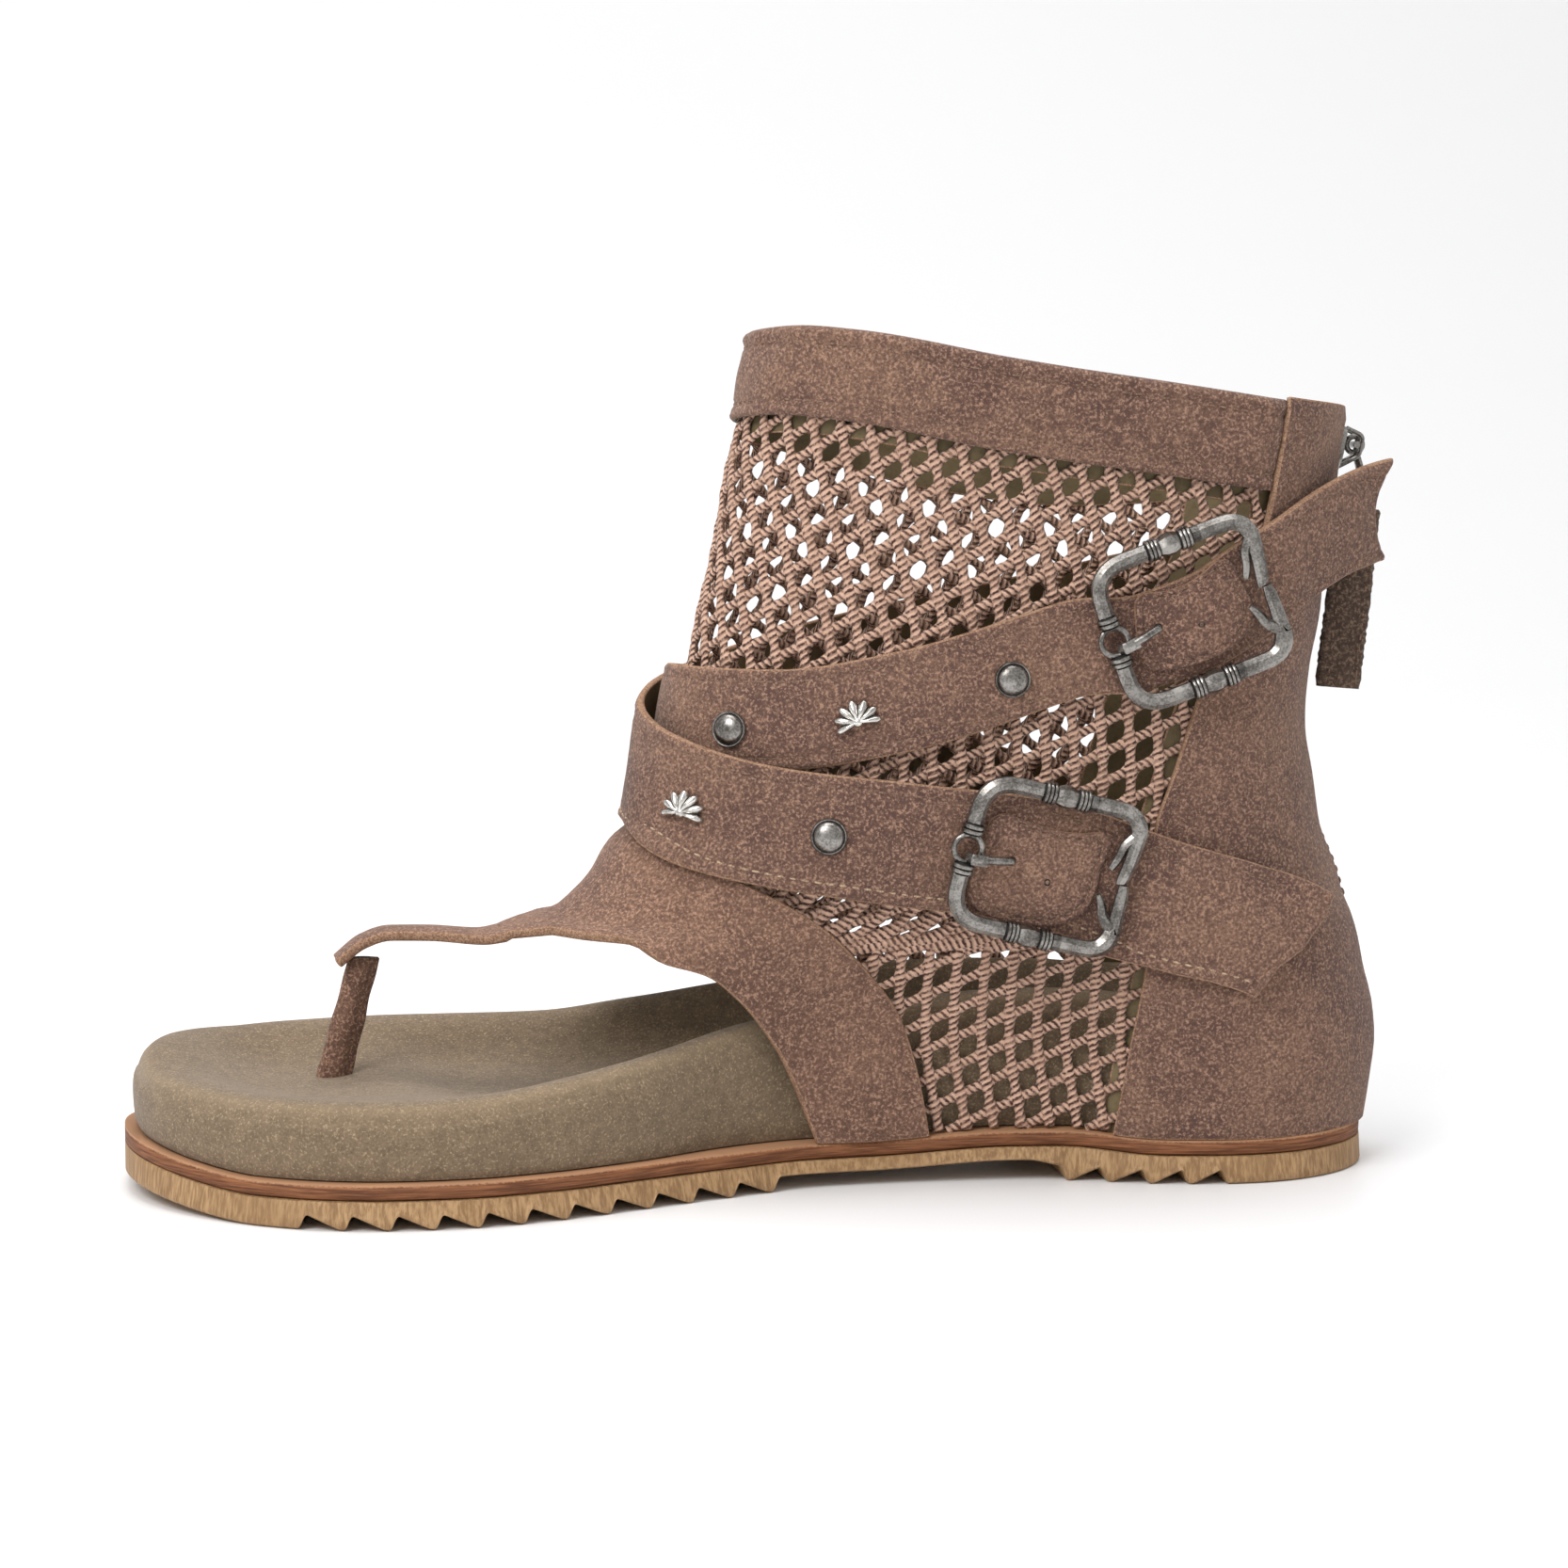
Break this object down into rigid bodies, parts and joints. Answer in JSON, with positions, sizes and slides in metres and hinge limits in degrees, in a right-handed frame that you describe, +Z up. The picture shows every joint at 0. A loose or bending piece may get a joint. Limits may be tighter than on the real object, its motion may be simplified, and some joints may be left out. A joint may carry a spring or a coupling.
{
  "type": "toe post sandal",
  "caption": "Flat toe post sandal with an open net ankle cuff, suede T-strap, studded wrap straps with buckles, back zip and ripple sole.",
  "frame": {"origin": "on the floor under the middle of the heel, at the heel block's flat underside", "axes": "+Z up, -X towards the toe, -Y towards the outer side of the left foot"},
  "size_m": [0.2593, 0.0962, 0.1723],
  "materials": {
    "gum_rubber": "matt gum rubber with a fine upright side texture",
    "welt_leather": "brown leather welt with a raw edge",
    "footbed_suede": "olive suede cover",
    "suede": "taupe brown suede",
    "rough_suede": "dark napped suede",
    "cord_net": "knotted two-tone cord net",
    "tape": "woven zip tape",
    "aged_nickel": "dark aged nickel"
  },
  "bodies": {
    "sandal": {"outsole": "gum_rubber", "welt": "welt_leather", "footbed": "footbed_suede", "toe_post": "suede", "vamp": "suede", "net_shaft": "cord_net", "heel_counter": "suede", "cuff": "suede", "strap_upper": "suede", "strap_lower": "suede", "zip_tape": "tape", "zip_slider": "aged_nickel", "buckle_upper": "aged_nickel", "buckle_lower": "aged_nickel", "prong_upper": "aged_nickel", "prong_lower": "aged_nickel", "stud_dome_upper_back": "aged_nickel", "stud_dome_upper_front": "aged_nickel", "stud_dome_lower": "aged_nickel", "stud_fan_upper": "aged_nickel", "stud_fan_lower": "aged_nickel"},
    "zip_pull": {"zip_link": "aged_nickel", "zip_tab": "rough_suede"}
  },
  "joints": [
    {"name": "zip_pull_swing", "type": "hinge", "parent": "sandal", "child": "zip_pull", "pos_m": [0.0314, 0, 0.1479], "axis": [0, -1, 0], "range_deg": [0, 150]}
  ]
}
